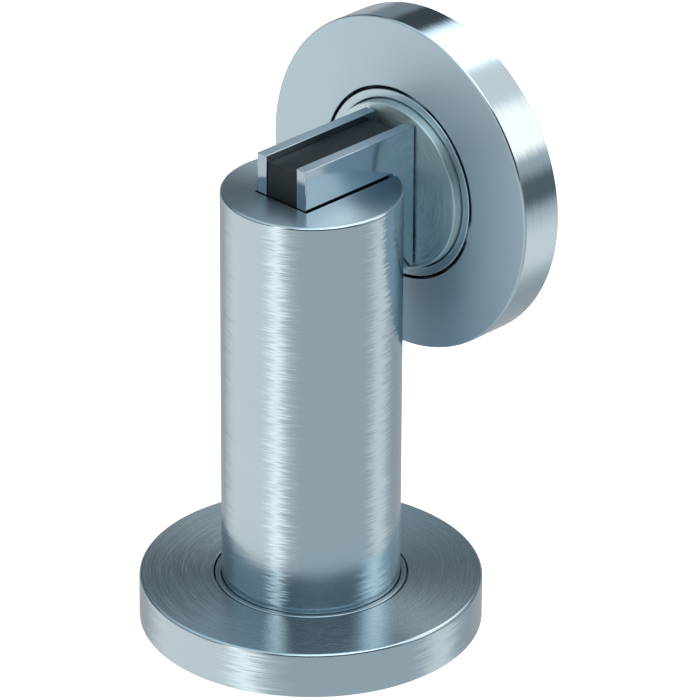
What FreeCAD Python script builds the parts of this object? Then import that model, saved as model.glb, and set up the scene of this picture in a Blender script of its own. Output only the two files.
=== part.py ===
import FreeCAD, Part
import os

import Sketcher

# Magnetic door stop. A post stands on the floor and carries a swivelling magnet fork. A round strike
# unit sits on the door and meets the fork. The frame is +Z up and +Y towards the door, with the
# origin on the floor at the post's axis. Lengths are millimetres.

SIZES = {
    # floor unit: post, rose and mounting plate
    "post_dia": 25.0,
    "post_foot": 4.0,
    "post_top": 65.5,
    "post_edge": 0.4,
    "rose_dia": 48.0,
    "rose_height": 6.6,
    "rose_wall": 1.2,
    "floor_rose_edge": 0.5,
    "door_rose_edge": 0.3,
    "rose_hole": 27.2,
    "hub_dia": 26.8,
    "hub_edge": 0.15,
    "socket_dia": 25.2,
    "plate_dia": 45.0,
    "floor_plate": 3.0,
    "door_plate": 2.3,
    # rubber ring that grips each rose, and its groove in the plate's rim
    "ring_wire": 1.4,
    "ring_circle": 43.9,
    "groove_dia": 42.4,
    "groove_width": 1.6,
    # fixing holes for three countersunk wood screws
    "screw_circle": 35.0,
    "screw_hole": 4.5,
    "screw_sink": 7.2,
    # screw and dowel that hold the post on its plate
    "bolt_dia": 6.0,
    "bolt_hole": 6.1,
    "bolt_top": 20.0,
    "bolt_hole_top": 22.0,
    "bolt_head": 11.4,
    "bolt_recess": 0.3,
    "bolt_key": 4.0,
    "bolt_key_depth": 2.2,
    "bolt_passage": 6.4,
    "bolt_sink": 12.2,
    "dowel_dia": 3.0,
    "dowel_hole": 3.1,
    "dowel_offset": 9.0,
    "dowel_bottom": 1.5,
    "dowel_top": 9.0,
    "dowel_gap": 0.1,
    # slot in the post's head, open upwards and towards the door
    "slot_width": 10.0,
    "slot_front": 6.0,
    "slot_floor": 49.8,
    # magnet fork
    "fork_width": 9.2,
    "pole_thick": 1.75,
    "pole_edge": 0.12,
    "fork_front": 5.8,
    "fork_back": 15.15,
    "fork_bottom": 50.4,
    "fork_top": 71.4,
    "carrier_front": 5.6,
    "carrier_back": 14.2,
    "carrier_top": 70.4,
    "magnet_front": 1.4,
    "magnet_back": 13.0,
    "magnet_bottom": 54.4,
    "magnet_top": 68.0,
    "magnet_gap": 0.05,
    "rivet_dia": 3.0,
    "rivet_hole": 3.1,
    "rivet_offset": 3.6,
    "rivet_low": 54.0,
    "rivet_high": 62.0,
    # swivel of the fork
    "swivel_offset": 3.0,
    "pin_dia": 5.0,
    "pin_bottom": 41.5,
    "pin_bore": 5.4,
    "pin_bore_bottom": 41.0,
    "pin_groove_dia": 3.8,
    "pin_groove_width": 1.8,
    "tenon_dia": 4.0,
    "tenon_hole": 4.1,
    "tenon_top": 53.2,
    "tenon_hole_top": 53.3,
    "bush_dia": 7.0,
    "bush_hole": 7.1,
    "bush_bore": 5.2,
    "bush_bottom": 46.6,
    "bush_flange_dia": 9.0,
    "bush_flange": 0.45,
    "grub_dia": 4.0,
    "grub_hole": 4.1,
    "grub_level": 44.1,
    "grub_inner": 6.2,
    "grub_outer": 11.6,
    "grub_tip_dia": 1.4,
    "grub_tip": 5.0,
    "grub_key": 2.0,
    "grub_key_depth": 2.4,
    # door unit: strike centre height, rose, cup and plate
    "strike_height": 60.9,
    "door_face": 16.7,
    "door_back": 23.3,
    "door_rose_hole": 27.9,
    "cup_dia": 27.0,
    "cup_bore": 24.6,
    "cup_edge": 0.15,
    "cup_floor": 0.9,
    "spigot_dia": 18.0,
    "spigot_hole": 18.1,
    "spigot_bore": 14.0,
    "spigot_end": 23.1,
    "buffer_dia": 20.0,
    "buffer_hole": 12.0,
    "buffer_front": 19.45,
    "buffer_gap": 0.05,
    # armature: the steel disc that the magnet holds, on its guide stem
    "disc_dia": 24.1,
    "disc_face": 15.4,
    "disc_thick": 2.9,
    "disc_edge": 0.2,
    "stem_dia": 6.0,
    "stem_hole": 6.2,
    "stem_end": 22.15,
    "stem_tenon_dia": 4.0,
    "stem_tenon_hole": 4.1,
    "stem_tenon": 1.5,
    "stem_groove_dia": 4.5,
    "clip_dia": 11.0,
    "clip_hole": 4.7,
    "clip_mouth": 4.0,
    "clip_front": 21.15,
    "clip_thick": 0.5,
    "clip_gap": 0.05,
}

doc = FreeCAD.newDocument("door_stop")
sheet = doc.addObject("Spreadsheet::Sheet", "Sizes")
for row, (alias, size) in enumerate(SIZES.items(), start=1):
    sheet.set(f"A{row}", alias)
    sheet.set(f"B{row}", str(size))
    sheet.setAlias(f"B{row}", alias)
doc.recompute()


# ---- helpers: every size is an expression on the sheet, written with "Sizes." left out as "@"


def bound(text):
    """The expression that a short form such as "@post_dia / 2" stands for."""
    return text.replace("@", "Sizes.")


def value(text):
    """What an expression is worth now."""
    return float(sheet.evalExpression(bound(text)))


def origin_part(body, role):
    """The plane or axis of a body's own origin that plays a role."""
    return next(part for part in body.Origin.OriginFeatures if part.Role == role)


def new_body(label):
    """An empty body that makes one sub-part."""
    return doc.addObject("PartDesign::Body", label)


def sketch_on(body, name, plane, offset="0"):
    """An empty sketch on one of the body's origin planes, moved along the plane's normal."""
    sketch = body.newObject("Sketcher::SketchObject", name)
    sketch.AttachmentSupport = (origin_part(body, plane), [""])
    sketch.MapMode = "FlatFace"
    sketch.setExpression("AttachmentOffset.Base.z", bound(offset))
    return sketch


def fix(sketch, kind, size, *ends):
    """A dimension of a sketch, bound to the sheet."""
    index = sketch.addConstraint(Sketcher.Constraint(kind, *ends, value(size)))
    sketch.setExpression(f"Constraints[{index}]", bound(size))


def add_outline(sketch, corners):
    """Draws a closed outline of straight edges through corners given as pairs of expressions."""
    first = sketch.GeometryCount
    places = [FreeCAD.Vector(value(across), value(along), 0) for across, along in corners]
    count = len(corners)
    for index in range(count):
        edge = Part.LineSegment(places[index], places[(index + 1) % count])
        sketch.addGeometry(edge, False)
    for index in range(count):
        following = first + (index + 1) % count
        sketch.addConstraint(Sketcher.Constraint("Coincident", first + index, 2, following, 1))
    for index, (across, along) in enumerate(corners):
        fix(sketch, "DistanceX", across, -1, 1, first + index, 1)
        fix(sketch, "DistanceY", along, -1, 1, first + index, 1)


def add_circle(sketch, diameter, across="0", along="0"):
    """Draws a circle about a centre given as expressions."""
    index = sketch.GeometryCount
    centre = FreeCAD.Vector(value(across), value(along), 0)
    circle = Part.Circle(centre, FreeCAD.Vector(0, 0, 1), value(diameter) / 2)
    sketch.addGeometry(circle, False)
    fix(sketch, "Diameter", diameter, index)
    fix(sketch, "DistanceX", across, -1, 1, index, 3)
    fix(sketch, "DistanceY", along, -1, 1, index, 3)


def add_hexagon(sketch, across_flats):
    """Draws a regular hexagon about the sketch's origin, for a key."""
    corner = f"{across_flats} / sqrt(3)"
    turns = range(0, 360, 60)
    add_outline(sketch, [(f"{corner} * cos({t} deg)", f"{corner} * sin({t} deg)") for t in turns])


def turn(body, name, plane, corners):
    """Turns an outline about the sketch's vertical axis. Corners are (radius, place on the axis)."""
    sketch = sketch_on(body, f"{name}_outline", plane)
    add_outline(sketch, corners)
    feature = body.newObject("PartDesign::Revolution", name)
    feature.Profile = sketch
    feature.ReferenceAxis = (sketch, ["V_Axis"])
    feature.Angle = 360
    doc.recompute()
    return feature


def pocket(body, name, sketch, depth, reverse=False):
    """Cuts a sketch into the body to a depth, and makes sure that it took material away."""
    before = body.Shape.Volume
    feature = body.newObject("PartDesign::Pocket", name)
    feature.Profile = sketch
    feature.Reversed = reverse
    feature.setExpression("Length", bound(depth))
    doc.recompute()
    if body.Shape.Volume > before - 0.01:
        raise ValueError(f"{name} cuts nothing")
    return feature


def drill(body, name, plane, start, depth, diameter, across="0", along="0", reverse=False):
    """Bores a round hole from a plane at start, against the plane's normal unless reversed."""
    sketch = sketch_on(body, f"{name}_circle", plane, start)
    add_circle(sketch, diameter, across, along)
    return pocket(body, name, sketch, depth, reverse)


def soften(body, kind, name, size, radius, level, axis):
    """Rounds (Fillet) or bevels (Chamfer) a round edge, found by its radius and its level."""
    base = body.Tip
    wanted = []
    for number, edge in enumerate(base.Shape.Edges, start=1):
        if not isinstance(edge.Curve, Part.Circle):
            continue
        right_radius = abs(edge.Curve.Radius - value(radius)) < 1e-4
        if right_radius and abs(edge.Curve.Center.dot(axis) - value(level)) < 1e-4:
            wanted.append(f"Edge{number}")
    feature = body.newObject(f"PartDesign::{kind}", name)
    feature.Base = (base, wanted)
    feature.setExpression("Radius" if kind == "Fillet" else "Size", bound(size))
    doc.recompute()


def soften_all(body, name, size):
    """Bevels every edge of the body."""
    base = body.Tip
    feature = body.newObject("PartDesign::Chamfer", name)
    feature.Base = (base, [""])
    feature.UseAllEdges = True
    feature.setExpression("Size", bound(size))
    doc.recompute()


def primitive(kind, name, sizes, place=None, rotation=None):
    """A Part primitive with its sizes and its place bound to the sheet."""
    solid = doc.addObject(f"Part::{kind}", name)
    if rotation:
        solid.Placement = FreeCAD.Placement(FreeCAD.Vector(), rotation)
    for prop, size in sizes.items():
        solid.setExpression(prop, bound(size))
    for letter, size in (place or {}).items():
        solid.setExpression(f"Placement.Base.{letter}", bound(size))
    return solid


UP = FreeCAD.Vector(0, 0, 1)
TO_DOOR = FreeCAD.Vector(0, 1, 0)
LIE_ALONG_Y = FreeCAD.Rotation(FreeCAD.Vector(1, 0, 0), -90)
LIE_ALONG_X = FreeCAD.Rotation(FreeCAD.Vector(0, 1, 0), 90)


# ---- fixing holes shared by both mounting plates


def add_fixing_holes(body, plane, offset, axis_role):
    """Three countersunk holes round a mounting plate, sunk from the plane at the offset."""
    sketch = sketch_on(body, f"{body.Label}_fixing_circle", plane, offset)
    add_circle(sketch, "@screw_hole", along="@screw_circle / 2")
    doc.recompute()
    hole = body.newObject("PartDesign::Hole", f"{body.Label}_fixing_hole")
    hole.Profile = sketch
    doc.recompute()
    hole.ThreadType = "None"
    hole.DepthType = "ThroughAll"
    hole.HoleCutType = "Countersink"
    hole.HoleCutCustomValues = True
    hole.HoleCutCountersinkAngle = 90
    hole.setExpression("Diameter", bound("@screw_hole"))
    hole.setExpression("HoleCutDiameter", bound("@screw_sink"))
    doc.recompute()
    pattern = body.newObject("PartDesign::PolarPattern", f"{body.Label}_fixing_pattern")
    pattern.Originals = [hole]
    pattern.Axis = (origin_part(body, axis_role), [""])
    pattern.Angle = 360
    pattern.Occurrences = 3
    body.Tip = pattern
    doc.recompute()


def plate_rim(near, far):
    """Outline corners down a plate's rim from its far face to its near face, with the ring groove."""
    middle = f"({near} + {far}) / 2"
    return [
        ("@plate_dia / 2", far),
        ("@plate_dia / 2", f"{middle} + @groove_width / 2"),
        ("@groove_dia / 2", f"{middle} + @groove_width / 2"),
        ("@groove_dia / 2", f"{middle} - @groove_width / 2"),
        ("@plate_dia / 2", f"{middle} - @groove_width / 2"),
        ("@plate_dia / 2", near),
    ]


def rose_shell(body, name, plane, face, back, hole, inward):
    """Turns a shallow round cap: face and back are its two levels, inward points from face to back."""
    inside = f"{face} {inward} @rose_wall"
    turn(
        body,
        name,
        plane,
        [
            (f"{hole} / 2", face),
            ("@rose_dia / 2", face),
            ("@rose_dia / 2", back),
            ("@rose_dia / 2 - @rose_wall", back),
            ("@rose_dia / 2 - @rose_wall", inside),
            (f"{hole} / 2", inside),
        ],
    )


def make_rose_ring(label, place, rotation=None):
    """Rubber ring in a plate's rim groove, over which the rose is pushed."""
    sizes = {"Radius1": "@ring_circle / 2", "Radius2": "@ring_wire / 2"}
    return primitive("Torus", label, sizes, place, rotation)


# ---- floor unit


def make_floor_mounting_plate():
    """Plate that is screwed to the floor, with the hub whose socket takes the post's foot."""
    body = new_body("floor_mounting_plate")
    sink_depth = "(@bolt_sink - @bolt_passage) / 2"
    corners = [
        ("@bolt_sink / 2", "0"),
        ("@bolt_passage / 2", sink_depth),
        ("@bolt_passage / 2", "@post_foot"),
        ("@socket_dia / 2", "@post_foot"),
        ("@socket_dia / 2", "@rose_height"),
        ("@hub_dia / 2", "@rose_height"),
        ("@hub_dia / 2", "@floor_plate"),
    ]
    turn(body, "floor_plate_turned", "XZ_Plane", corners + plate_rim("0", "@floor_plate"))
    soften(body, "Chamfer", "hub_bevel", "@hub_edge", "@hub_dia / 2", "@rose_height", UP)
    depth = "@post_foot - @dowel_bottom + @dowel_gap"
    drill(body, "plate_dowel_hole", "XY_Plane", "@post_foot", depth, "@dowel_hole", along="@dowel_offset")
    add_fixing_holes(body, "XY_Plane", "@floor_plate", "Z_Axis")
    return body


def make_floor_rose():
    """Round cap that covers the plate and its screws, and lifts off along the post."""
    body = new_body("floor_rose")
    rose_shell(body, "floor_rose_turned", "XZ_Plane", "@rose_height", "0", "@rose_hole", "-")
    soften(body, "Fillet", "floor_rose_rim", "@floor_rose_edge", "@rose_dia / 2", "@rose_height", UP)
    soften(body, "Chamfer", "floor_rose_lip", "@hub_edge", "@rose_hole / 2", "@rose_height", UP)
    return body


def make_post():
    """Solid bar with a slot for the fork, a bore for its swivel pin and a tapped foot."""
    body = new_body("post")
    corners = [
        ("0", "@post_foot"),
        ("@post_dia / 2", "@post_foot"),
        ("@post_dia / 2", "@post_top"),
        ("0", "@post_top"),
    ]
    turn(body, "post_turned", "XZ_Plane", corners)
    soften(body, "Fillet", "post_rim", "@post_edge", "@post_dia / 2", "@post_top", UP)
    slot = sketch_on(body, "slot_outline", "XY_Plane", "@post_top")
    corners = [
        ("-@slot_width / 2", "-@slot_front"),
        ("@slot_width / 2", "-@slot_front"),
        ("@slot_width / 2", "@post_dia"),
        ("-@slot_width / 2", "@post_dia"),
    ]
    add_outline(slot, corners)
    pocket(body, "slot", slot, "@post_top - @slot_floor")
    bush_depth = "@slot_floor - @bush_bottom"
    drill(
        body, "bush_seat", "XY_Plane", "@slot_floor", bush_depth, "@bush_hole", along="@swivel_offset"
    )
    bore_depth = "@bush_bottom - @pin_bore_bottom"
    drill(
        body, "pin_bore", "XY_Plane", "@bush_bottom", bore_depth, "@pin_bore", along="@swivel_offset"
    )
    grub = sketch_on(body, "grub_hole_circle", "XZ_Plane", "-@post_dia")
    add_circle(grub, "@grub_hole", along="@grub_level")
    pocket(body, "grub_hole", grub, "@post_dia - @grub_tip", reverse=True)
    foot = "@bolt_hole_top - @post_foot"
    drill(body, "foot_thread", "XY_Plane", "@post_foot", foot, "@bolt_hole", reverse=True)
    dowel = "@dowel_top - @post_foot + @dowel_gap"
    drill(
        body,
        "post_dowel_hole",
        "XY_Plane",
        "@post_foot",
        dowel,
        "@dowel_hole",
        along="@dowel_offset",
        reverse=True,
    )
    return body


def make_post_screw():
    """Countersunk socket screw that pulls the post down onto the plate from below."""
    body = new_body("post_screw")
    head_top = "@bolt_recess + (@bolt_head - @bolt_dia) / 2"
    corners = [
        ("0", "@bolt_recess"),
        ("@bolt_head / 2", "@bolt_recess"),
        ("@bolt_dia / 2", head_top),
        ("@bolt_dia / 2", "@bolt_top"),
        ("0", "@bolt_top"),
    ]
    turn(body, "post_screw_turned", "XZ_Plane", corners)
    key = sketch_on(body, "post_screw_key", "XY_Plane", "@bolt_recess")
    add_hexagon(key, "@bolt_key")
    pocket(body, "post_screw_socket", key, "@bolt_key_depth", reverse=True)
    return body


def make_locating_pin():
    """Dowel between plate and post, off the axis, that stops the post from turning."""
    sizes = {"Radius": "@dowel_dia / 2", "Height": "@dowel_top - @dowel_bottom"}
    place = {"y": "@dowel_offset", "z": "@dowel_bottom"}
    return primitive("Cylinder", "locating_pin", sizes, place)


def make_swivel_bush():
    """Flanged bearing bush in the slot's floor, round the fork's swivel pin."""
    body = new_body("swivel_bush")
    flange_top = "@slot_floor + @bush_flange"
    corners = [
        ("@bush_bore / 2", "@bush_bottom"),
        ("@bush_dia / 2", "@bush_bottom"),
        ("@bush_dia / 2", "@slot_floor"),
        ("@bush_flange_dia / 2", "@slot_floor"),
        ("@bush_flange_dia / 2", flange_top),
        ("@bush_bore / 2", flange_top),
    ]
    turn(body, "swivel_bush_turned", "XZ_Plane", corners)
    body.setExpression("Placement.Base.y", bound("@swivel_offset"))
    return body


def make_swivel_grub_screw():
    """Socket grub screw in the back of the post whose dog point keeps the swivel pin in."""
    body = new_body("swivel_grub_screw")
    corners = [
        ("0", "@grub_tip"),
        ("@grub_tip_dia / 2", "@grub_tip"),
        ("@grub_tip_dia / 2", "@grub_inner"),
        ("@grub_dia / 2", "@grub_inner"),
        ("@grub_dia / 2", "@grub_outer"),
        ("0", "@grub_outer"),
    ]
    turn(body, "grub_screw_turned", "XY_Plane", corners)
    key = sketch_on(body, "grub_screw_key", "XZ_Plane", "-@grub_outer")
    add_hexagon(key, "@grub_key")
    pocket(body, "grub_screw_socket", key, "@grub_key_depth", reverse=True)
    body.setExpression("Placement.Base.z", bound("@grub_level"))
    return body


# ---- magnet fork


def fork_slab(body, name, start, width, front, back, top):
    """Pads an upright slab of the fork along X from start, with its two rivet holes."""
    sketch = sketch_on(body, f"{name}_outline", "YZ_Plane", start)
    corners = [
        (f"-{front}", "@fork_bottom"),
        (back, "@fork_bottom"),
        (back, top),
        (f"-{front}", top),
    ]
    add_outline(sketch, corners)
    pad = body.newObject("PartDesign::Pad", name)
    pad.Profile = sketch
    pad.setExpression("Length", bound(width))
    doc.recompute()


def rivet_holes(body, name, start, depth):
    """Bores the two rivet holes through a slab, along X from its near face."""
    for level in ("low", "high"):
        drill(
            body,
            f"{name}_{level}",
            "YZ_Plane",
            start,
            depth,
            "@rivet_hole",
            "-@rivet_offset",
            f"@rivet_{level}",
            reverse=True,
        )


def make_pole_plate(label, start):
    """Polished steel cheek of the fork, which leads the magnet's pull to the armature disc."""
    body = new_body(label)
    fork_slab(
        body, f"{label}_pad", start, "@pole_thick", "@fork_front", "@fork_back", "@fork_top"
    )
    soften_all(body, f"{label}_bevel", "@pole_edge")
    rivet_holes(body, f"{label}_rivet_hole", start, "@pole_thick")
    return body


def make_magnet_carrier():
    """Moulded block between the pole plates, with a window for the magnet."""
    body = new_body("magnet_carrier")
    start = "@pole_thick - @fork_width / 2"
    width = "@fork_width - 2 * @pole_thick"
    fork_slab(
        body, "carrier_pad", start, width, "@carrier_front", "@carrier_back", "@carrier_top"
    )
    window = sketch_on(body, "carrier_window_outline", "YZ_Plane", start)
    near, far = "-@magnet_front - @magnet_gap", "@magnet_back + @magnet_gap"
    low, high = "@magnet_bottom - @magnet_gap", "@magnet_top + @magnet_gap"
    add_outline(window, [(near, low), (far, low), (far, high), (near, high)])
    pocket(body, "carrier_window", window, width, reverse=True)
    rivet_holes(body, "carrier_rivet_hole", start, width)
    depth = "@tenon_hole_top - @fork_bottom"
    drill(
        body,
        "carrier_tenon_hole",
        "XY_Plane",
        "@fork_bottom",
        depth,
        "@tenon_hole",
        along="@swivel_offset",
        reverse=True,
    )
    return body


def make_magnet():
    """Block magnet inside the carrier's window, with its poles on the two cheeks."""
    sizes = {
        "Length": "@fork_width - 2 * @pole_thick - 2 * @magnet_gap",
        "Width": "@magnet_back + @magnet_front",
        "Height": "@magnet_top - @magnet_bottom",
    }
    place = {
        "x": "@pole_thick - @fork_width / 2 + @magnet_gap",
        "y": "-@magnet_front",
        "z": "@magnet_bottom",
    }
    return primitive("Box", "magnet", sizes, place)


def make_fork_rivets():
    """Two flush rivets that clamp the pole plates on the carrier, low down inside the slot."""
    rivets = []
    for level in ("low", "high"):
        sizes = {"Radius": "@rivet_dia / 2", "Height": "@fork_width"}
        place = {"x": "-@fork_width / 2", "y": "-@rivet_offset", "z": f"@rivet_{level}"}
        rivets.append(primitive("Cylinder", f"rivet_{level}", sizes, place, LIE_ALONG_X))
    pair = doc.addObject("Part::MultiFuse", "fork_rivets")
    pair.Shapes = rivets
    return pair


def make_swivel_pin():
    """Shouldered pin under the fork that turns in the bush, with a groove for the grub screw."""
    body = new_body("swivel_pin")
    groove_low = "@grub_level - @pin_groove_width / 2"
    groove_high = "@grub_level + @pin_groove_width / 2"
    corners = [
        ("0", "@pin_bottom"),
        ("@pin_dia / 2", "@pin_bottom"),
        ("@pin_dia / 2", groove_low),
        ("@pin_groove_dia / 2", groove_low),
        ("@pin_groove_dia / 2", groove_high),
        ("@pin_dia / 2", groove_high),
        ("@pin_dia / 2", "@fork_bottom"),
        ("@tenon_dia / 2", "@fork_bottom"),
        ("@tenon_dia / 2", "@tenon_top"),
        ("0", "@tenon_top"),
    ]
    turn(body, "swivel_pin_turned", "XZ_Plane", corners)
    body.setExpression("Placement.Base.y", bound("@swivel_offset"))
    return body


# ---- door unit


def lift_to_strike(body):
    """Raises a body that is turned about Y to the height of the strike's centre."""
    body.setExpression("Placement.Base.z", bound("@strike_height"))
    return body


def make_door_rose():
    """Round cap over the door's plate, with a wide opening for the cup."""
    body = new_body("door_rose")
    rose_shell(
        body, "door_rose_turned", "XY_Plane", "@door_face", "@door_back", "@door_rose_hole", "+"
    )
    soften(
        body, "Fillet", "door_rose_rim", "@door_rose_edge", "@rose_dia / 2", "@door_face", TO_DOOR
    )
    soften(
        body, "Chamfer", "door_rose_lip", "@hub_edge", "@door_rose_hole / 2", "@door_face", TO_DOOR
    )
    return lift_to_strike(body)


def make_door_mounting_plate():
    """Plate that is screwed to the door and carries the cup in its middle."""
    body = new_body("door_mounting_plate")
    front = "@door_back - @door_plate"
    corners = [("@spigot_hole / 2", "@door_back"), ("@spigot_hole / 2", front)]
    rim = plate_rim(front, "@door_back")
    turn(body, "door_plate_turned", "XY_Plane", corners + rim[::-1])
    add_fixing_holes(body, "XZ_Plane", f"-({front})", "Y_Axis")
    return lift_to_strike(body)


def make_armature_cup():
    """Turned cup in which the disc floats, with a guide hole and a spigot through the plate."""
    body = new_body("armature_cup")
    seat = "@door_back - @door_plate"
    corners = [
        ("@stem_hole / 2", seat),
        ("@stem_hole / 2", f"{seat} - @cup_floor"),
        ("@cup_bore / 2", f"{seat} - @cup_floor"),
        ("@cup_bore / 2", "@door_face"),
        ("@cup_dia / 2", "@door_face"),
        ("@cup_dia / 2", seat),
        ("@spigot_dia / 2", seat),
        ("@spigot_dia / 2", "@spigot_end"),
        ("@spigot_bore / 2", "@spigot_end"),
        ("@spigot_bore / 2", seat),
    ]
    turn(body, "armature_cup_turned", "XY_Plane", corners)
    soften(body, "Chamfer", "cup_lip", "@cup_edge", "@cup_dia / 2", "@door_face", TO_DOOR)
    soften(body, "Chamfer", "cup_bore_lip", "@cup_edge", "@cup_bore / 2", "@door_face", TO_DOOR)
    return lift_to_strike(body)


def make_armature_buffer():
    """Rubber washer on the cup's floor that stops the disc quietly at the end of its float."""
    body = new_body("armature_buffer")
    back = "@door_back - @door_plate - @cup_floor - @buffer_gap"
    corners = [
        ("@buffer_hole / 2", "@buffer_front"),
        ("@buffer_dia / 2", "@buffer_front"),
        ("@buffer_dia / 2", back),
        ("@buffer_hole / 2", back),
    ]
    turn(body, "armature_buffer_turned", "XY_Plane", corners)
    return lift_to_strike(body)


# ---- armature


def make_armature_disc():
    """Steel disc that the magnet pulls on, with a blind tapped hole for its stem."""
    body = new_body("armature_disc")
    back = "@disc_face + @disc_thick"
    corners = [
        ("0", "@disc_face"),
        ("@disc_dia / 2", "@disc_face"),
        ("@disc_dia / 2", back),
        ("@stem_tenon_hole / 2", back),
        ("@stem_tenon_hole / 2", f"{back} - @stem_tenon - @clip_gap"),
        ("0", f"{back} - @stem_tenon - @clip_gap"),
    ]
    turn(body, "armature_disc_turned", "XY_Plane", corners)
    soften(body, "Chamfer", "disc_bevel", "@disc_edge", "@disc_dia / 2", "@disc_face", TO_DOOR)
    return lift_to_strike(body)


def make_armature_stem():
    """Guide stem behind the disc, with a groove near its end for the clip."""
    body = new_body("armature_stem")
    shoulder = "@disc_face + @disc_thick"
    groove_front = "@clip_front - @clip_gap"
    groove_back = "@clip_front + @clip_thick + @clip_gap"
    corners = [
        ("0", f"{shoulder} - @stem_tenon"),
        ("@stem_tenon_dia / 2", f"{shoulder} - @stem_tenon"),
        ("@stem_tenon_dia / 2", shoulder),
        ("@stem_dia / 2", shoulder),
        ("@stem_dia / 2", groove_front),
        ("@stem_groove_dia / 2", groove_front),
        ("@stem_groove_dia / 2", groove_back),
        ("@stem_dia / 2", groove_back),
        ("@stem_dia / 2", "@stem_end"),
        ("0", "@stem_end"),
    ]
    turn(body, "armature_stem_turned", "XY_Plane", corners)
    return lift_to_strike(body)


def make_armature_clip():
    """Open spring-steel clip on the stem that keeps the disc from falling out of the cup."""
    place = {"y": "@clip_front", "z": "@strike_height"}
    outer = primitive(
        "Cylinder",
        "clip_outside",
        {"Radius": "@clip_dia / 2", "Height": "@clip_thick"},
        place,
        LIE_ALONG_Y,
    )
    inner = primitive(
        "Cylinder",
        "clip_inside",
        {"Radius": "@clip_hole / 2", "Height": "@clip_thick"},
        place,
        LIE_ALONG_Y,
    )
    mouth = primitive(
        "Box",
        "clip_mouth_box",
        {"Length": "@clip_mouth", "Width": "@clip_thick", "Height": "@clip_dia"},
        {"x": "-@clip_mouth / 2", "y": "@clip_front", "z": "@strike_height - @clip_dia"},
    )
    taken = doc.addObject("Part::MultiFuse", "clip_space")
    taken.Shapes = [inner, mouth]
    clip = doc.addObject("Part::Cut", "armature_clip")
    clip.Base = outer
    clip.Tool = taken
    return clip


# ---- the assembly

nodes = [
    make_floor_mounting_plate(),
    make_rose_ring("floor_rose_ring", {"z": "@floor_plate / 2"}),
    make_post(),
    make_post_screw(),
    make_locating_pin(),
    make_swivel_bush(),
    make_swivel_grub_screw(),
    make_floor_rose(),
    make_pole_plate("pole_plate_left", "-@fork_width / 2"),
    make_pole_plate("pole_plate_right", "@fork_width / 2 - @pole_thick"),
    make_magnet_carrier(),
    make_magnet(),
    make_fork_rivets(),
    make_swivel_pin(),
    make_door_rose(),
    make_door_mounting_plate(),
    make_rose_ring(
        "door_rose_ring",
        {"y": "@door_back - @door_plate / 2", "z": "@strike_height"},
        LIE_ALONG_Y,
    ),
    make_armature_cup(),
    make_armature_buffer(),
    make_armature_disc(),
    make_armature_stem(),
    make_armature_clip(),
]
doc.recompute()

failed = [item.Label for item in doc.Objects if {"Invalid", "Error"} & set(item.State)]
if failed:
    raise RuntimeError(f"failed objects: {failed}")
for node in nodes:
    if node.Shape.isNull() or not node.Shape.isValid():
        raise RuntimeError(f"{node.Label} has no valid shape")

os.makedirs("parts", exist_ok=True)
for node in nodes:
    node.Shape.exportStep(f"parts/{node.Label}.step")
    print(f"{node.Label}: {node.Shape.Volume:.1f} mm3, {len(node.Shape.Solids)} solid(s)")
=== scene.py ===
import math

import bmesh
import bpy
from mathutils import Matrix, Vector


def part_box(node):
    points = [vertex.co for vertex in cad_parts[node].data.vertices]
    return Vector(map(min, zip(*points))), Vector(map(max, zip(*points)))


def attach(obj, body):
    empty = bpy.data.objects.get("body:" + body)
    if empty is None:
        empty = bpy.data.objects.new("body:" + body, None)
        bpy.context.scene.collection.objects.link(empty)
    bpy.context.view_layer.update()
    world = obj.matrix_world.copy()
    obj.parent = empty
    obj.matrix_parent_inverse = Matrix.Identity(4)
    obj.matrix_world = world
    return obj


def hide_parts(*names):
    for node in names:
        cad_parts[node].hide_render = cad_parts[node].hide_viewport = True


# Magnetic door stop in satin stainless steel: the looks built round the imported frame.
# Blender works in metres. Sizes here are millimetres unless a name says otherwise, and MM turns
# them into metres. Outer sizes come from the CAD boxes; the constants are what a box can't tell.

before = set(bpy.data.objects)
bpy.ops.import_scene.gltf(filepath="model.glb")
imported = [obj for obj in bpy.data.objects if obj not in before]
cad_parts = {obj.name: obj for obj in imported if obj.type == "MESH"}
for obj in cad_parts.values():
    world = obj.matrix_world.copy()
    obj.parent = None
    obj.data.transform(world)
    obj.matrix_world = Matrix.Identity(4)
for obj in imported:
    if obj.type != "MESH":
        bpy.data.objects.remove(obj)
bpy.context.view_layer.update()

MM = 0.001
SEGMENTS = 192
FINE_SEGMENTS = 256
SINK_SEGMENTS = 64
ROD_SEGMENTS = 48
BEVEL_STEPS = 4
SHARP_ANGLE = math.radians(40)

ROSE_WALL = 1.2
FLOOR_ROSE_HOLE = 13.6
DOOR_ROSE_HOLE = 13.95
HUB_RADIUS = 13.4
SOCKET_RADIUS = 12.6
SOCKET_FLOOR = 4.0
FLOOR_PLATE = 3.0
GROOVE_RADIUS = 21.2
GROOVE_WIDTH = 1.6
SCREW_CIRCLE = 17.5
SCREW_HOLE = 2.25
SCREW_SINK = 3.6
SCREW_COUNT = 3
BOLT_PASSAGE = 3.2
BOLT_SINK = 6.1
SLOT_HALF = 5.0
SLOT_FRONT = -6.0
SLOT_FLOOR = 49.8
GRUB_LEVEL = 44.1
GRUB_HOLE = 2.05
GRUB_HOLE_INNER = 5.2
BUSH_HOLE = 3.55
BUSH_BOTTOM = 46.6
SWIVEL_Y = 3.0
RIVET_HOLE = 1.55
RIVET_Y = -3.6
RIVET_LEVELS = (54.0, 62.0)
MAGNET_GAP = 0.05
WINDOW_PAST = 2.0
TENON_HOLE = 2.05
TENON_DEPTH = 2.9
CUP_BORE = 12.3
CUP_FLOOR = 0.9
STEM_HOLE = 3.1
SPIGOT_RADIUS = 9.0
SPIGOT_HOLE = 9.05
SPIGOT_BORE = 7.0
TENON_BLIND = 1.55
DISC_TENON = 2.05
DOWEL_Y = 9.0
DOWEL_HOLE = 1.55
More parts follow.
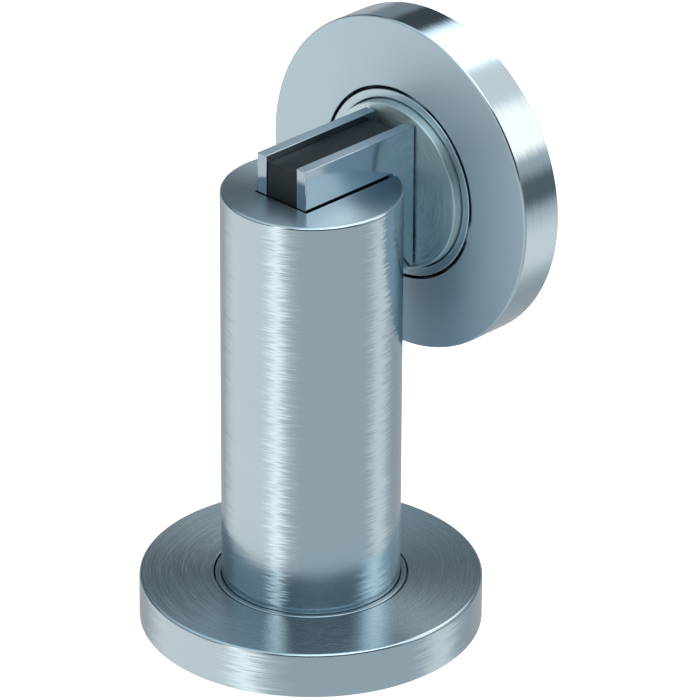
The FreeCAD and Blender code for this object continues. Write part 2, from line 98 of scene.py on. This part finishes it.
DOWEL_FLOOR = 1.4
CUT_PAST = 1.0

# How far back from its corner each edge starts to round.
POST_RIM = 0.45
POST_FOOT_EDGE = 0.3
FLOOR_ROSE_RIM = 0.5
DOOR_ROSE_RIM = 0.35
ROSE_LIP = 0.18
ROSE_FILLET = 0.5
GROOVE_EDGE = 0.05
SOCKET_EDGE = 0.12
HUB_EDGE = 0.2
CHEEK_EDGE = 0.12
CUP_EDGE = 0.16
CUP_FILLET = 0.2
DISC_EDGE = 0.22
BACK_EDGE = 0.15
FINE_EDGE = 0.1

CAMERA_TARGET = Vector((0, 0, 45 * MM))
CAMERA_AZIMUTH = math.radians(44.844)
CAMERA_ELEVATION = math.radians(26.669)
CAMERA_DISTANCE = 793.96 * MM
CAMERA_YAW = math.radians(0.381)
CAMERA_PITCH = math.radians(-0.251)
CAMERA_ROLL = math.radians(0.328)
CAMERA_LENS = 298.34


def box_mm(node):
    """Lowest and highest corner of a CAD node, in millimetres."""
    low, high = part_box(node)
    return Vector(low) / MM, Vector(high) / MM


# ---- camera


def make_camera():
    """The viewer's place: on a sphere round the target, then turned a little off it."""
    azimuth, elevation = CAMERA_AZIMUTH, CAMERA_ELEVATION
    back = Vector(
        (
            math.sin(azimuth) * math.cos(elevation),
            -math.cos(azimuth) * math.cos(elevation),
            math.sin(elevation),
        )
    )
    right = Vector((math.cos(azimuth), math.sin(azimuth), 0))
    above = back.cross(right)
    ahead = (-back + right * math.tan(CAMERA_YAW) + above * math.tan(CAMERA_PITCH)).normalized()
    right = ahead.cross(Vector((0, 0, 1))).normalized()
    above = right.cross(ahead)
    turn = Matrix((right, above, -ahead)).transposed().to_4x4()
    data = bpy.data.cameras.new("camera")
    data.lens = CAMERA_LENS
    camera = bpy.data.objects.new("camera", data)
    bpy.context.collection.objects.link(camera)
    place = Matrix.Translation(CAMERA_TARGET + CAMERA_DISTANCE * back)
    camera.matrix_world = place @ turn @ Matrix.Rotation(CAMERA_ROLL, 4, "Z")
    bpy.context.scene.camera = camera


# ---- mesh building


def new_object(name, mesh):
    """Puts a mesh in the scene as an object."""
    piece = bpy.data.objects.new(name, mesh)
    bpy.context.collection.objects.link(piece)
    return piece


def mesh_from(name, shape):
    """A new object from a bmesh, with its faces turned outwards."""
    bmesh.ops.recalc_face_normals(shape, faces=shape.faces)
    mesh = bpy.data.meshes.new(name)
    shape.to_mesh(mesh)
    shape.free()
    return new_object(name, mesh)


def rounded(corners):
    """Points of an outline whose corners (radius, height, bevel) are rounded by their bevels."""
    points = []
    for index, (radius, height, bevel) in enumerate(corners):
        here = Vector((radius, height))
        if not bevel:
            points.append(here)
            continue
        before = Vector(corners[index - 1][:2])
        after = Vector(corners[(index + 1) % len(corners)][:2])
        start = here + bevel * (before - here).normalized()
        end = here + bevel * (after - here).normalized()
        for step in range(BEVEL_STEPS + 1):
            s = step / BEVEL_STEPS
            points.append(start * (1 - s) ** 2 + here * (2 * s * (1 - s)) + end * s**2)
    return points


def lathe(name, corners, segments=SEGMENTS):
    """Turns an outline about local Z: a solid if it starts and ends on the axis, or else a ring."""
    shape = bmesh.new()
    rings = []
    points = rounded(corners)
    for radius, height in points:
        if radius == 0:
            rings.append([shape.verts.new((0, 0, height * MM))])
            continue
        ring = []
        for step in range(segments):
            angle = 2 * math.pi * step / segments
            place = (radius * math.cos(angle) * MM, radius * math.sin(angle) * MM, height * MM)
            ring.append(shape.verts.new(place))
        rings.append(ring)
    pairs = list(zip(rings, rings[1:] + rings[:1]))
    if points[0][0] == 0:
        pairs.pop()
    for lower, upper in pairs:
        for step in range(segments):
            following = (step + 1) % segments
            corners_of_face = [
                lower[step % len(lower)],
                lower[following % len(lower)],
                upper[following % len(upper)],
                upper[step % len(upper)],
            ]
            shape.faces.new(dict.fromkeys(corners_of_face))
    return mesh_from(name, shape)


def block(name, low, high, bevel=0.0):
    """A box between two corners in millimetres, with rounded edges."""
    shape = bmesh.new()
    bmesh.ops.create_cube(shape, size=1)
    size = (high - low) * MM
    middle = (high + low) / 2 * MM
    bmesh.ops.transform(
        shape, matrix=Matrix.Translation(middle) @ Matrix.Diagonal(size).to_4x4(), verts=shape.verts
    )
    if bevel:
        bmesh.ops.bevel(
            shape,
            geom=shape.edges[:] + shape.verts[:],
            offset=bevel * MM,
            offset_type="OFFSET",
            segments=BEVEL_STEPS,
            profile=0.5,
            affect="EDGES",
        )
    return mesh_from(name, shape)


def rod(name, radius, start, end):
    """A plain round cutter between two points in millimetres."""
    start, end = Vector(start), Vector(end)
    length = (end - start).length
    outline = [(0, 0, 0), (radius, 0, 0), (radius, length, 0), (0, length, 0)]
    piece = lathe(name, outline, ROD_SEGMENTS)
    turn = (end - start).to_track_quat("Z", "Y").to_matrix().to_4x4()
    piece.data.transform(Matrix.Translation(start * MM) @ turn)
    return piece


def bake_modifiers(piece):
    """Makes a piece's modifiers part of its mesh."""
    graph = bpy.context.evaluated_depsgraph_get()
    mesh = bpy.data.meshes.new_from_object(piece.evaluated_get(graph))
    piece.modifiers.clear()
    piece.data = mesh


def carve(piece, *cutters):
    """Cuts shapes out of a piece and throws the cutters away."""
    for cutter in cutters:
        modifier = piece.modifiers.new("cut", "BOOLEAN")
        modifier.operation = "DIFFERENCE"
        modifier.solver = "EXACT"
        modifier.object = cutter
        bpy.context.view_layer.update()
        bake_modifiers(piece)
        bpy.data.objects.remove(cutter)


def finish_piece(piece, node, body, material):
    """Smooths a piece's shading and lets it stand for its CAD node."""
    piece.data.shade_smooth()
    piece.data.set_sharp_from_angle(angle=SHARP_ANGLE)
    modifier = piece.modifiers.new("flat faces stay flat", "WEIGHTED_NORMAL")
    modifier.keep_sharp = True
    piece.data.materials.clear()
    piece.data.materials.append(material)
    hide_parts(node)
    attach(piece, body)


def stand_on_door(piece):
    """Lays a turned piece's axis along +Y at the strike's height."""
    low, high = box_mm("door_rose")
    level = (low.z + high.z) / 2
    lay_down = Matrix.Rotation(-math.pi / 2, 4, "X")
    piece.matrix_world = Matrix.Translation((0, 0, level * MM)) @ lay_down


# ---- materials


class Graph:
    """A node tree being built. Inputs are numbers, colours or other nodes' output sockets."""

    def __init__(self, tree):
        self.tree = tree
        tree.nodes.clear()

    def add(self, kind, inputs=None, output=0, **settings):
        """Adds a node and returns one of its outputs."""
        node = self.tree.nodes.new(kind)
        for key, setting in settings.items():
            setattr(node, key, setting)
        for key, wanted in (inputs or {}).items():
            if isinstance(wanted, bpy.types.NodeSocket):
                self.tree.links.new(wanted, node.inputs[key])
            else:
                node.inputs[key].default_value = wanted
        return node.outputs[output] if len(node.outputs) else None

    def maths(self, operation, first, second=0.0, third=0.0):
        """One Math node."""
        inputs = {0: first, 1: second, 2: third}
        return self.add("ShaderNodeMath", inputs, operation=operation)

    def vector(self, operation, first, second=(0, 0, 0), output=0):
        """One Vector Math node."""
        return self.add("ShaderNodeVectorMath", {0: first, 1: second}, output, operation=operation)

    def scaled(self, vector, factor):
        """A vector times a number."""
        return self.add(
            "ShaderNodeVectorMath", {0: vector, "Scale": factor}, operation="SCALE"
        )

    def noise(self, vector, scale=1.0, detail=2.0, roughness=0.5):
        """Noise between 0 and 1."""
        inputs = {"Vector": vector, "Scale": scale, "Detail": detail, "Roughness": roughness}
        return self.add("ShaderNodeTexNoise", inputs)

    def remap(self, source, low, high, out_low, out_high, smooth=False):
        """Maps one range of a number to another, held at both ends."""
        inputs = {0: source, 1: low, 2: high, 3: out_low, 4: out_high}
        kind = "SMOOTHSTEP" if smooth else "LINEAR"
        return self.add("ShaderNodeMapRange", inputs, interpolation_type=kind)

    def blend(self, factor, first, second):
        """A mix of two colours."""
        node = self.tree.nodes.new("ShaderNodeMix")
        node.data_type = "RGBA"
        colour_a, colour_b = [socket for socket in node.inputs if socket.type == "RGBA"]
        for socket, wanted in ((node.inputs[0], factor), (colour_a, first), (colour_b, second)):
            if isinstance(wanted, bpy.types.NodeSocket):
                self.tree.links.new(wanted, socket)
            else:
                socket.default_value = wanted
        return next(socket for socket in node.outputs if socket.type == "RGBA")


def rgb(red, green, blue):
    """A colour with full alpha."""
    return (red, green, blue, 1.0)


def shade(colour, factor):
    """A colour made lighter or darker."""
    return rgb(*(min(1.0, channel * factor) for channel in colour[:3]))


def new_graph(name):
    """A material with an empty graph."""
    material = bpy.data.materials.new(name)
    material.use_nodes = True
    return material, Graph(material.node_tree)


def close_material(graph, inputs):
    """Adds the Principled shader and the output."""
    shader = graph.add("ShaderNodeBsdfPrincipled", inputs)
    graph.add("ShaderNodeOutputMaterial", {"Surface": shader})


# Brushed hairs: how often one changes in a radian of its way round, how deep it is, what share of
# that depth flat faces get, and the finer hairs' part in the mix of fine and coarse.
HAIR_STRETCH = 2.4
HAIR_DEPTH = 0.003
FACE_LIFT = 0.35
FINE_SHARE = 0.6


def turned_metal(
    name,
    colour,
    face_roughness,
    wall_roughness,
    spread=0.04,
    grain=0.7,
    tilt=0.3,
    face_tilt=0.12,
    hair=9000.0,
    wall_lift=1.0,
    wall_painted_shade=1.0,
    contrast=0.045,
):
    """Metal brushed round the piece's local Z: rings on flat faces and hoops on walls.

    Each hair leans the surface a little sideways, by tilt on walls and face_tilt on faces, which
    frays the edges of bright reflections. hair is how many hairs there are in a metre, contrast how
    much their colour differs, and spread how much their roughness does. wall_lift is the share of
    the hairs' depth that walls get, and wall_painted_shade darkens the walls' colour: painted shade
    that dims their reflections.
    """
    material, g = new_graph(name)
    place = g.add("ShaderNodeTexCoord", output=3)
    flat = g.vector("MULTIPLY", place, (1, 1, 0))
    radius = g.vector("LENGTH", flat, output=1)
    outward = g.vector("NORMALIZE", flat)
    height = g.add("ShaderNodeSeparateXYZ", {0: place}, output=2)
    across = g.maths("ADD", radius, height)
    across_vector = g.add("ShaderNodeCombineXYZ", {2: across})
    facing = g.add("ShaderNodeTexCoord", output=1)
    facing = g.maths("ABSOLUTE", g.add("ShaderNodeSeparateXYZ", {0: facing}, output=2))
    face = g.remap(facing, 0.5, 0.9, 0.0, 1.0, smooth=True)

    def hairs(stretch, fineness, detail):
        along = g.scaled(outward, stretch)
        return g.noise(g.vector("ADD", along, g.scaled(across_vector, fineness)), 1.0, detail, 0.6)

    fine = hairs(HAIR_STRETCH * 1.6, hair, 1.5)
    coarse = hairs(HAIR_STRETCH, hair * 0.6, 1.0)
    cloud = g.noise(place, 90.0, 2.0)
    fine_part = g.maths("MULTIPLY", fine, FINE_SHARE)
    coarse_part = g.maths("MULTIPLY", coarse, 1.0 - FINE_SHARE)
    streak = g.maths("ADD", fine_part, coarse_part)
    amount = g.remap(face, 0.0, 1.0, wall_lift, FACE_LIFT)

    around = g.vector("CROSS_PRODUCT", (0, 0, 1), outward)
    to_world = {"vector_type": "VECTOR", "convert_from": "OBJECT", "convert_to": "WORLD"}
    around = g.add("ShaderNodeVectorTransform", {0: around}, **to_world)
    sideways = g.remap(face, 0.0, 1.0, tilt, face_tilt)
    sideways = g.maths("MULTIPLY", g.maths("SUBTRACT", streak, 0.5), sideways)
    surface = g.add("ShaderNodeNewGeometry", output=1)
    leaned = g.vector("NORMALIZE", g.vector("ADD", surface, g.scaled(around, sideways)))
    normal = g.add(
        "ShaderNodeBump",
        {"Strength": amount, "Distance": HAIR_DEPTH * MM, "Height": streak, "Normal": leaned},
    )
    tangent = g.add("ShaderNodeTangent", direction_type="RADIAL", axis="Z")
    tint = g.blend(streak, shade(colour, 1 - contrast), shade(colour, 1 + contrast))
    tint = g.blend(g.remap(cloud, 0.35, 0.7, 0.0, 0.3), tint, shade(colour, 0.95))
    # Painted shade: the walls' colour is darkened to dim their bright reflections.
    tint = g.scaled(tint, g.remap(face, 0.0, 1.0, wall_painted_shade, 1.0))
    level = g.remap(face, 0.0, 1.0, wall_roughness, face_roughness)
    wander = g.maths("MULTIPLY", g.remap(streak, 0.3, 0.7, -spread, spread), amount)
    close_material(
        g,
        {
            "Base Color": tint,
            "Metallic": 1.0,
            "Roughness": g.maths("ADD", level, wander),
            "Anisotropic": grain,
            "Anisotropic Rotation": 0.25,
            "Tangent": tangent,
            "Normal": normal,
        },
    )
    return material


# Ground steel: how often the grain changes in a metre along each axis, and how deep it is.
GRAIN_SCALE = (400.0, 60.0, 4000.0)
GRAIN_DEPTH = 0.001


def ground_metal(name, colour, roughness, edge_roughness=None):
    """Metal finely ground along local Y, with edge_roughness where it faces up or down."""
    material, g = new_graph(name)
    place = g.add("ShaderNodeTexCoord", output=3)
    grain_noise = g.noise(g.vector("MULTIPLY", place, GRAIN_SCALE), 1.0, 3.0, 0.6)
    cloud = g.noise(place, 60.0, 2.0)
    depth = {"Strength": 1.0, "Distance": GRAIN_DEPTH * MM}
    normal = g.add("ShaderNodeBump", {**depth, "Height": grain_noise})
    tint = g.blend(grain_noise, shade(colour, 0.97), shade(colour, 1.03))
    facing = g.add("ShaderNodeTexCoord", output=1)
    upward = g.maths("ABSOLUTE", g.add("ShaderNodeSeparateXYZ", {0: facing}, output=2))
    edge = roughness if edge_roughness is None else edge_roughness
    level = g.remap(upward, 0.8, 0.95, roughness, edge, smooth=True)
    level = g.maths("ADD", g.remap(cloud, 0.3, 0.7, -0.015, 0.02), level)
    close_material(
        g,
        {
            "Base Color": tint,
            "Metallic": 1.0,
            "Roughness": g.maths("ADD", level, g.remap(grain_noise, 0.3, 0.7, -0.01, 0.015)),
            "Normal": normal,
        },
    )
    return material


def cast_surface(name, colour, roughness, grain, lift, metallic=0.0, specular=0.5):
    """A moulded, sintered or rubber surface with a skin of pebbles, grain of them in a metre."""
    material, g = new_graph(name)
    place = g.add("ShaderNodeTexCoord", output=3)
    pebble = g.noise(place, grain, 4.0, 0.6)
    cloud = g.noise(place, grain / 12, 2.0)
    normal = g.add("ShaderNodeBump", {"Strength": 1.0, "Distance": lift * MM, "Height": pebble})
    tint = g.blend(g.remap(cloud, 0.3, 0.7, 0.0, 1.0), shade(colour, 0.8), shade(colour, 1.25))
    close_material(
        g,
        {
            "Base Color": tint,
            "Metallic": metallic,
            "Roughness": g.remap(pebble, 0.3, 0.7, roughness - 0.06, roughness + 0.08),
            "Specular IOR Level": specular,
            "Normal": normal,
        },
    )
    return material


STEEL = rgb(0.455, 0.60, 0.685)
PLATE = rgb(0.36, 0.48, 0.55)

MATERIALS = {
    "post": turned_metal("post_steel", STEEL, 0.31, 0.17, tilt=0.6, hair=12000.0),
    "rose": turned_metal("rose_steel", STEEL, 0.27, 0.17, grain=0.65, tilt=0.6, hair=12000.0),
    # The door rose, cup and disc are the same steel painted lighter, 1.15, 1.1 and 1.27 times:
    # painted light that brightens their reflections.
    "door_rose": turned_metal(
        "door_rose_steel",
        shade(STEEL, 1.15),
        face_roughness=0.56,
        wall_roughness=0.08,
        spread=0.02,
        grain=0.3,
        tilt=0.08,
        face_tilt=0.03,
        wall_lift=0.08,
        # Painted shade on the rose's rim: its colour is darkened so its reflections don't blow out.
        wall_painted_shade=0.87,
    ),
    "cup": turned_metal(
        "cup_steel", shade(STEEL, 1.1), 0.42, 0.3, spread=0.02, grain=0.3, tilt=0.05
    ),
    "hub": turned_metal("plate_steel", PLATE, 0.3, 0.3),
    "disc": turned_metal(
        "disc_steel",
        shade(STEEL, 1.27),
        face_roughness=0.44,
        wall_roughness=0.5,
        spread=0.08,
        tilt=0.05,
        face_tilt=0.7,
        hair=4000.0,
        contrast=0.3,
    ),
    "pole": ground_metal("pole_nickel", rgb(0.375, 0.495, 0.59), 0.12, edge_roughness=0.45),
    "carrier": cast_surface(
        "carrier_black", rgb(0.018, 0.026, 0.031), 0.36, 2500.0, 0.004, specular=0.12
    ),
    "magnet": cast_surface(
        "magnet_sintered", rgb(0.10, 0.10, 0.105), 0.45, 3000.0, 0.01, metallic=0.8
    ),
    "rubber": cast_surface("black_rubber", rgb(0.018, 0.018, 0.019), 0.6, 2200.0, 0.012),
    "bronze": turned_metal("bush_bronze", rgb(0.60, 0.38, 0.17), 0.3, 0.3),
    "screw": ground_metal("screw_zinc", rgb(0.50, 0.53, 0.55), 0.3),
}


# ---- floor unit


def make_post():
    """The post: a bar with a rounded rim, its slot, the bush's seat and the grub screw's hole."""
    low, high = box_mm("post")
    radius = (high.x - low.x) / 2
    piece = lathe(
        "post_body",
        [
            (0, low.z, 0),
            (radius, low.z, POST_FOOT_EDGE),
            (radius, high.z, POST_RIM),
            (0, high.z, 0),
        ],
        FINE_SEGMENTS,
    )
    slot_low = Vector((-SLOT_HALF, SLOT_FRONT, SLOT_FLOOR))
    slot_high = Vector((SLOT_HALF, 2 * radius, high.z + radius))
    slot = block("slot_cutter", slot_low, slot_high)
    bush = rod("bush_cutter", BUSH_HOLE, (0, SWIVEL_Y, BUSH_BOTTOM), (0, SWIVEL_Y, high.z))
    grub_inner = (0, GRUB_HOLE_INNER, GRUB_LEVEL)
    grub = rod("grub_cutter", GRUB_HOLE, grub_inner, (0, 2 * radius, GRUB_LEVEL))
    carve(piece, slot, bush, grub)
    finish_piece(piece, "post", "floor_unit", MATERIALS["post"])


def rose_outline(radius, face, back, hole, rim):
    """Outline of a shallow round cap, from its hole round the outside to its inside."""
    inward = 1 if back > face else -1
    ceiling = face + inward * ROSE_WALL
    return [
        (hole, face, ROSE_LIP),
        (radius, face, rim),
        (radius, back, BACK_EDGE),
        (radius - ROSE_WALL, back, FINE_EDGE),
        (radius - ROSE_WALL, ceiling, ROSE_FILLET),
        (hole, ceiling, FINE_EDGE),
    ]


def make_floor_rose():
    """The cap on the floor."""
    low, high = box_mm("floor_rose")
    radius = (high.x - low.x) / 2
    outline = rose_outline(radius, high.z, low.z, FLOOR_ROSE_HOLE, FLOOR_ROSE_RIM)
    piece = lathe("floor_rose_shell", outline, FINE_SEGMENTS)
    finish_piece(piece, "floor_rose", "floor_cover", MATERIALS["rose"])


def rim_outline(radius, near, far):
    """The plate's rim from its far face to its near face, with the rubber ring's groove."""
    middle = (near + far) / 2
    half = GROOVE_WIDTH / 2 * (1 if far > near else -1)
    return [
        (radius, far, BACK_EDGE),
        (radius, middle + half, GROOVE_EDGE),
        (GROOVE_RADIUS, middle + half, 0),
        (GROOVE_RADIUS, middle - half, 0),
        (radius, middle - half, GROOVE_EDGE),
        (radius, near, BACK_EDGE),
    ]


def carve_fixing_holes(piece, face, back):
    """Three countersunk holes round a plate, sunk from its face.

    The first is at local +Y on a plate whose face is its upper side, and at local -Y on one whose
    face is its lower side, which is the top of the plate once it lies on the door.
    """
    direction = 1 if face > back else -1
    depth = SCREW_SINK - SCREW_HOLE
    below = back - direction * CUT_PAST
    above = face + direction * CUT_PAST / 2
    for step in range(SCREW_COUNT):
        cutter = lathe(
            "fixing_cutter",
            [
                (0, below, 0),
                (SCREW_HOLE, below, 0),
                (SCREW_HOLE, face - direction * depth, 0),
                (SCREW_SINK, face, 0),
                (SCREW_SINK, above, 0),
                (0, above, 0),
            ],
            SINK_SEGMENTS,
        )
        angle = math.pi / 2 * direction + 2 * math.pi * step / SCREW_COUNT
        place = Vector((math.cos(angle), math.sin(angle), 0)) * SCREW_CIRCLE * MM
        cutter.data.transform(Matrix.Translation(place))
        carve(piece, cutter)


def make_floor_plate():
    """The plate on the floor, whose hub shows round the post's foot."""
    low, high = box_mm("floor_mounting_plate")
    radius = (high.x - low.x) / 2
    sink_depth = BOLT_SINK - BOLT_PASSAGE
    outline = [
        (BOLT_SINK, low.z, 0),
        (BOLT_PASSAGE, sink_depth, 0),
        (BOLT_PASSAGE, SOCKET_FLOOR, FINE_EDGE),
        (SOCKET_RADIUS, SOCKET_FLOOR, 0),
        (SOCKET_RADIUS, high.z, SOCKET_EDGE),
        (HUB_RADIUS, high.z, HUB_EDGE),
        (HUB_RADIUS, FLOOR_PLATE, HUB_EDGE),
    ] + rim_outline(radius, low.z, FLOOR_PLATE)
    piece = lathe("floor_plate_body", outline)
    dowel = rod("dowel_cutter", DOWEL_HOLE, (0, DOWEL_Y, DOWEL_FLOOR), (0, DOWEL_Y, high.z))
    carve(piece, dowel)
    carve_fixing_holes(piece, FLOOR_PLATE, low.z)
    finish_piece(piece, "floor_mounting_plate", "floor_unit", MATERIALS["hub"])


# ---- magnet fork


def rivet_cutters(low, high):
    """Cutters for the two rivet holes through a slab of the fork."""
    left, right = low.x - CUT_PAST, high.x + CUT_PAST
    return [
        rod("rivet_cutter", RIVET_HOLE, (left, RIVET_Y, level), (right, RIVET_Y, level))
        for level in RIVET_LEVELS
    ]


def make_pole_plates():
    """The two steel cheeks."""
    for side in ("left", "right"):
        node = f"pole_plate_{side}"
        low, high = box_mm(node)
        piece = block(f"{node}_cheek", low, high, CHEEK_EDGE)
        carve(piece, *rivet_cutters(low, high))
        finish_piece(piece, node, "magnet_fork", MATERIALS["pole"])


def make_carrier():
    """The black block between the cheeks, with its magnet window and the pin's hole."""
    low, high = box_mm("magnet_carrier")
    magnet_low, magnet_high = box_mm("magnet")
    gap = Vector((WINDOW_PAST, MAGNET_GAP, MAGNET_GAP))
    piece = block("carrier_block", low, high, FINE_EDGE)
    window = block("window_cutter", magnet_low - gap, magnet_high + gap)
    tenon_start = (0, SWIVEL_Y, low.z - CUT_PAST)
    tenon = rod("tenon_cutter", TENON_HOLE, tenon_start, (0, SWIVEL_Y, low.z + TENON_DEPTH))
    carve(piece, window, tenon, *rivet_cutters(low, high))
    finish_piece(piece, "magnet_carrier", "magnet_fork", MATERIALS["carrier"])


# ---- door unit and armature: local Z runs along +Y


def make_door_rose():
    """The cap on the door."""
    low, high = box_mm("door_rose")
    radius = (high.x - low.x) / 2
    outline = rose_outline(radius, low.y, high.y, DOOR_ROSE_HOLE, DOOR_ROSE_RIM)
    piece = lathe("door_rose_shell", outline, FINE_SEGMENTS)
    stand_on_door(piece)
    finish_piece(piece, "door_rose", "door_unit", MATERIALS["door_rose"])


def make_door_plate():
    """The plate on the door."""
    low, high = box_mm("door_mounting_plate")
    radius = (high.x - low.x) / 2
    outline = [(SPIGOT_HOLE, high.y, FINE_EDGE), (SPIGOT_HOLE, low.y, FINE_EDGE)]
    outline += rim_outline(radius, high.y, low.y)
    piece = lathe("door_plate_body", outline)
    carve_fixing_holes(piece, low.y, high.y)
    stand_on_door(piece)
    finish_piece(piece, "door_mounting_plate", "door_unit", MATERIALS["hub"])


def make_cup():
    """The cup in which the disc floats."""
    low, high = box_mm("armature_cup")
    seat = box_mm("door_mounting_plate")[0].y
    radius = (high.x - low.x) / 2
    piece = lathe(
        "cup_body",
        [
            (STEM_HOLE, seat, 0),
            (STEM_HOLE, seat - CUP_FLOOR, 0),
            (CUP_BORE, seat - CUP_FLOOR, CUP_FILLET),
            (CUP_BORE, low.y, CUP_EDGE),
            (radius, low.y, CUP_EDGE),
            (radius, seat, 0),
            (SPIGOT_RADIUS, seat, 0),
            (SPIGOT_RADIUS, high.y, FINE_EDGE),
            (SPIGOT_BORE, high.y, FINE_EDGE),
            (SPIGOT_BORE, seat, 0),
        ],
    )
    stand_on_door(piece)
    finish_piece(piece, "armature_cup", "door_unit", MATERIALS["cup"])


def make_disc():
    """The steel disc that the magnet holds."""
    low, high = box_mm("armature_disc")
    radius = (high.x - low.x) / 2
    piece = lathe(
        "disc_body",
        [
            (0, low.y, 0),
            (radius, low.y, DISC_EDGE),
            (radius, high.y, BACK_EDGE),
            (DISC_TENON, high.y, 0),
            (DISC_TENON, high.y - TENON_BLIND, 0),
            (0, high.y - TENON_BLIND, 0),
        ],
    )
    stand_on_door(piece)
    finish_piece(piece, "armature_disc", "armature", MATERIALS["disc"])


make_camera()
make_post()
make_floor_rose()
make_floor_plate()
make_pole_plates()
make_carrier()
make_door_rose()
make_door_plate()
make_cup()
make_disc()

# ---- pieces that keep their CAD shape and get a finish

CAD_FINISHES = {
    "floor_rose_ring": "rubber",
    "post_screw": "screw",
    "locating_pin": "screw",
    "swivel_bush": "bronze",
    "swivel_grub_screw": "screw",
    "magnet": "magnet",
    "fork_rivets": "screw",
    "swivel_pin": "screw",
    "door_rose_ring": "rubber",
    "armature_buffer": "rubber",
    "armature_stem": "screw",
    "armature_clip": "screw",
}
for node_name, finish_name in CAD_FINISHES.items():
    node_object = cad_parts[node_name]
    if not node_object.material_slots:
        node_object.data.materials.append(MATERIALS[finish_name])
    for material_slot in node_object.material_slots:
        material_slot.material = MATERIALS[finish_name]


# ---- studio


FLOOR_REACH_METRES = 6.0
FLOOR_GLOW = 0.55


def make_floor():
    """A plain pale floor under the stop, which the metal doesn't mirror."""
    shape = bmesh.new()
    bmesh.ops.create_grid(shape, x_segments=1, y_segments=1, size=FLOOR_REACH_METRES)
    floor = mesh_from("studio_floor", shape)
    material, g = new_graph("studio_white")
    close_material(
        g,
        {
            "Base Color": rgb(0.93, 0.93, 0.93),
            "Roughness": 0.9,
            "Specular IOR Level": 0.0,
            "Emission Color": rgb(1, 1, 1),
            "Emission Strength": FLOOR_GLOW,
        },
    )
    floor.data.materials.append(material)
    floor.visible_glossy = False


# Each panel of the studio: azimuth and elevation of its middle, half width, half height and edge
# softness in degrees, then its brightness and warmth. Azimuth 0 is over the viewer's shoulder, + to
# the right. A later panel covers the ones before it.
PANELS = {
    "left_wall": (-80, -34, 50, 42, 16, 0.97, 1),
    "left_strip": (-46, -34, 8, 42, 6, 1.5, 1),
    "right_wall": (97, -38, 13, 18, 9, 1.0, 1),
    "low_back": (170, -38, 48, 34, 8, 0.48, 0),
    "ceiling": (140, 66, 200, 33, 4, 1.45, -0.6),
    "roof_light": (0, 80, 200, 28, 6, 2.3, 0),
    "dim_ceiling": (-112, 66, 80, 32, 14, 0.9, -1),
    "back_window": (152, 50, 22, 9, 7, 2.6, 1.6),
    "right_ceiling": (112, 46, 17, 13, 10, 1.0, 1),
    "left_above": (-105, 24, 60, 18, 8, 0.32, 0),
    "front_above": (6, 28, 62, 22, 6, 0.05, -0.5),
    "left_strip_above": (-46, 26, 7, 20, 6, 2.0, 2),
    "mid_back": (180, 10, 60, 10, 4, 0.32, -1),
    "dark_back": (180, 27, 60, 9, 3, 0.09, -1),
    "dark_horizon": (90, -5, 32, 8, 5, 0.18, -1),
    "window": (90, 26, 11, 13, 4, 1.7, 2),
}
BASE_LIGHT = rgb(0.60, 0.60, 0.60)

# A panel's red rises and its blue falls by these shares for each unit of its warmth.
RED_OF_WARMTH = 0.1
BLUE_OF_WARMTH = 0.06


def panel_mask(g, azimuth, elevation, panel):
    """1 inside a panel of the studio's sphere and 0 outside, with soft edges."""
    middle, level, half_width, half_height, soft = panel[:5]
    off = g.maths("WRAP", g.maths("SUBTRACT", azimuth, middle), 180.0, -180.0)
    off = g.maths("ABSOLUTE", off)
    across = g.remap(off, half_width - soft, half_width + soft, 1.0, 0.0, smooth=True)
    rise = g.maths("ABSOLUTE", g.maths("SUBTRACT", elevation, level))
    upright = g.remap(rise, half_height - soft, half_height + soft, 1.0, 0.0, smooth=True)
    return g.maths("MULTIPLY", across, upright)


def make_studio_light():
    """Soft light from all round, with a few large panels that the metal mirrors."""
    world = bpy.data.worlds.new("studio")
    bpy.context.scene.world = world
    world.use_nodes = True
    g = Graph(world.node_tree)
    direction = g.add("ShaderNodeTexCoord", output=0)
    x, y, z = (g.add("ShaderNodeSeparateXYZ", {0: direction}, output=axis) for axis in range(3))
    azimuth = g.maths("ARCTAN2", x, g.maths("MULTIPLY", y, -1.0))
    azimuth = g.maths("SUBTRACT", g.maths("DEGREES", azimuth), math.degrees(CAMERA_AZIMUTH))
    elevation = g.maths("DEGREES", g.maths("ARCSINE", z))
    total = BASE_LIGHT
    for panel in PANELS.values():
        brightness, warmth = panel[5:]
        red = brightness * (1 + RED_OF_WARMTH * warmth)
        blue = brightness * (1 - BLUE_OF_WARMTH * warmth)
        colour = rgb(red, brightness, blue)
        total = g.blend(panel_mask(g, azimuth, elevation, panel), total, colour)
    light = g.add("ShaderNodeBackground", {"Color": total, "Strength": 1.0})
    g.add("ShaderNodeOutputWorld", {"Surface": light})


make_floor()
make_studio_light()
bpy.context.scene.view_settings.view_transform = "Standard"
